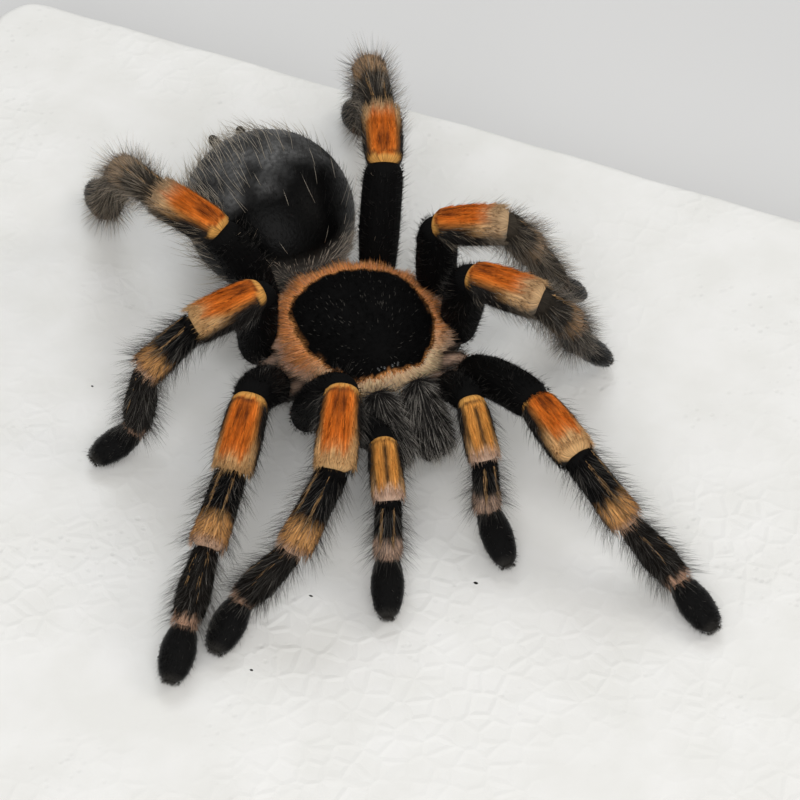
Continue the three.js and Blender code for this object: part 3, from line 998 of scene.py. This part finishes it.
def foam_material():
    """Expanded polystyrene: pressed beads with faint raised seams, in patches, and small pits."""
    material, tree, shader = node_material("bead_foam", 0.7, 0.3)
    coordinates = tree.nodes.new("ShaderNodeTexCoord").outputs["Object"]
    cells = tree.nodes.new("ShaderNodeTexVoronoi")
    cells.feature = "DISTANCE_TO_EDGE"
    cells.inputs["Scale"].default_value = 320.0
    tree.links.new(coordinates, cells.inputs["Vector"])
    seam = add_range(tree, cells.outputs["Distance"], 0.02, 0.2, 1.0, 0.0)
    patches = add_range(tree, add_noise(tree, coordinates, 38.0, 5.0), 0.42, 0.64)
    seam = add_math(tree, "MULTIPLY", seam, patches)
    pits = tree.nodes.new("ShaderNodeTexVoronoi")
    pits.inputs["Scale"].default_value = 620.0
    tree.links.new(coordinates, pits.inputs["Vector"])
    pit = add_range(tree, pits.outputs["Distance"], 0.1, 0.3, 1.0, 0.0)
    pitted = add_range(tree, add_noise(tree, coordinates, 70.0), 0.5, 0.66)
    pit = add_math(tree, "MULTIPLY", pit, pitted)
    swell = add_noise(tree, coordinates, 110.0, 6.0)
    dent = add_math(tree, "MULTIPLY", pit, 0.6)
    height = add_math(tree, "SUBTRACT", add_math(tree, "MULTIPLY", seam, 0.8), dent)
    height = add_math(tree, "ADD", height, add_math(tree, "MULTIPLY", swell, 0.9))
    add_bump(tree, shader, height, 0.14, 0.8)
    colour = add_mix(tree, add_range(tree, swell, 0.35, 0.65), (0.84, 0.84, 0.82), (0.89, 0.89, 0.88))
    # the colour is 5% darker in the pits: painted shade in the dents
    shade = add_range(tree, pit, 0.0, 1.0, 1.0, 0.95)
    tree.links.new(add_scaled(tree, colour, shade), shader.inputs["Base Color"])
    return material


def board_outline(inset, per_corner=14, per_side=26):
    """The board's outline, drawn in by an inset, as points with the same count for every inset."""
    w, h = BOARD[0] / 2 - inset, BOARD[1] / 2 - inset
    r = max(BOARD_CORNER - inset, 0.5)
    points = []
    for x, y, first in ((w - r, h - r, 0), (r - w, h - r, 90), (r - w, r - h, 180), (w - r, r - h, 270)):
        for a in np.radians(np.linspace(first, first + 90, per_corner)):
            points.append((x + r * math.cos(a), y + r * math.sin(a)))
        turn = math.radians(first + 90)
        span = 2 * ((w if first % 180 == 0 else h) - r)
        for s in np.linspace(0, 1, per_side + 2)[1:-1]:
            px, py = x + r * math.cos(turn), y + r * math.sin(turn)
            points.append((px - span * s * math.sin(turn), py + span * s * math.cos(turn)))
    return np.array(points)


def make_board():
    """A slab with softly rounded, slightly uneven edges."""
    levels = [(inset, 0.0) for inset in (60.0, 30.0, 8.0)]
    steps = np.radians(np.linspace(0, 90, 6))
    levels += [(BOARD_EDGE * (1 - math.sin(a)), BOARD_EDGE * (1 - math.cos(a))) for a in steps]
    levels += [(0.0, z) for z in (7.0, 13.0)]
    top = BOARD[2] - BOARD_EDGE
    levels += [(BOARD_EDGE * (1 - math.cos(a)), top + BOARD_EDGE * math.sin(a)) for a in steps]
    levels += [(inset, BOARD[2]) for inset in (3.0, 6.0, 12.0, 20.0, 30.0, 45.0, 62.0)]
    rings = []
    for inset, z in levels:
        flat = board_outline(inset)
        rings.append(np.column_stack([flat, np.full(len(flat), z)]))
    rings = np.array(rings)
    x, y = rings[..., 0], rings[..., 1]
    wave = np.sin(x * 0.31 + 1.0) * np.sin(y * 0.27) + 0.6 * np.sin(x * 0.9 + y * 0.7)
    inward = 1 - 0.0012 * (1 + wave) * (rings[..., 2] > 0.1)
    rings[..., 0] *= inward
    rings[..., 1] *= inward
    rings[..., 2] -= 0.06 * (1 + wave) * (rings[..., 2] > BOARD[2] - 1.4)
    low = np.zeros((1, rings.shape[1], 3))
    high = low + (0.0, 0.0, BOARD[2] - 0.05)
    vertices, faces, corners = closed_rings(np.vstack([low, rings, high]))
    vertices = turn_z(vertices - SPIDER, -HEADING)
    board = make_object("foam_board_beads", foam_material(), vertices, faces, None, corners)
    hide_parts("foam_board")


# dark specks lying on the foam, in the row's frame
SPECKS = ((-38.2, 0.9), (27.4, -11.3), (7.3, -22.3), (5.1, -37.1))


def make_specks():
    vertices, faces, count = [], [], 0
    for x, y in SPECKS:
        grain = ball_grid(9, 7) * rng.uniform(0.6, 1.4, 3) * (0.26, 0.2, 0.09)
        points, triangles, _ = closed_rings(grain)
        vertices.append(points + (x, y, BOARD[2] - 0.03))
        faces.append(triangles + count)
        count += len(points)
    vertices = turn_z(np.vstack(vertices) - SPIDER, -HEADING)
    specks = make_object("dust_specks", PILE, vertices, np.vstack(faces), vary(SOOT, count))


make_board()
make_specks()

# ---------------------------------------------------------------- studio

FLOOR_DROP = 0.2 * MM
CAMERA_VIEW = (23, 48)
CAMERA_TARGET = Vector((4.4, 16.0, 20.0)) * MM
CAMERA_DISTANCE = 0.45
LENS, SENSOR = 138.7, 36.0
LIGHT_TARGET = Vector((0.0, 10.0, 20.0)) * MM


def floor_material():
    material, tree, shader = node_material("floor_paint", 0.8, 0.2)
    coordinates = tree.nodes.new("ShaderNodeTexCoord").outputs["Object"]
    noise = add_noise(tree, coordinates, 14.0, 5.0)
    colour = add_mix(tree, noise, (0.7, 0.705, 0.71), (0.74, 0.74, 0.745))
    tree.links.new(colour, shader.inputs["Base Color"])
    return material


def make_floor(half=3.0):
    mesh = bpy.data.meshes.new("studio_floor")
    corners = [(-half, -half, 0), (half, -half, 0), (half, half, 0), (-half, half, 0)]
    mesh.from_pydata(corners, [], [(0, 1, 2, 3)])
    mesh.materials.append(floor_material())
    plane = bpy.data.objects.new("studio_floor", mesh)
    bpy.context.collection.objects.link(plane)
    plane.location.z = -FLOOR_DROP


def towards(azimuth, elevation):
    """The direction from the spider to something seen at this azimuth and elevation."""
    a, e = math.radians(azimuth), math.radians(elevation)
    return Vector((math.sin(a) * math.cos(e), -math.cos(a) * math.cos(e), math.sin(e)))


def make_softbox(name, view, distance, size, watts, colour):
    """A round soft light that shines on the spider from one viewing angle."""
    light = bpy.data.lights.new(name, "AREA")
    light.shape = "DISK"
    light.size = size
    light.energy = watts
    light.color = colour
    lamp = bpy.data.objects.new(name, light)
    bpy.context.collection.objects.link(lamp)
    back = towards(*view)
    lamp.location = LIGHT_TARGET + back * distance
    lamp.rotation_mode = "QUATERNION"
    lamp.rotation_quaternion = back.to_track_quat("Z", "Y")


def make_camera():
    data = bpy.data.cameras.new("camera")
    data.sensor_width = SENSOR
    data.lens = LENS
    data.clip_start, data.clip_end = 0.01, 20.0
    eye = bpy.data.objects.new("camera", data)
    bpy.context.collection.objects.link(eye)
    back = towards(*CAMERA_VIEW)
    eye.location = CAMERA_TARGET + back * CAMERA_DISTANCE
    eye.rotation_mode = "QUATERNION"
    eye.rotation_quaternion = (-back).to_track_quat("-Z", "Y")
    bpy.context.scene.camera = eye


def make_world():
    world = bpy.data.worlds.new("studio")
    world.use_nodes = True
    background = world.node_tree.nodes["Background"]
    background.inputs["Color"].default_value = (1.0, 0.985, 0.955, 1)
    background.inputs["Strength"].default_value = 0.42
    bpy.context.scene.world = world
    bpy.context.scene.view_settings.view_transform = "Standard"


make_floor()
make_camera()
make_softbox("window", (205, 55), distance=0.9, size=0.45, watts=1.5, colour=(0.93, 0.97, 1.0))
make_softbox("lamp", (118, 42), distance=1.0, size=0.5, watts=1.2, colour=(1.0, 0.95, 0.87))
make_softbox("fill", (25, 46), distance=1.0, size=0.8, watts=5.6, colour=(1.0, 0.99, 0.98))
make_world()
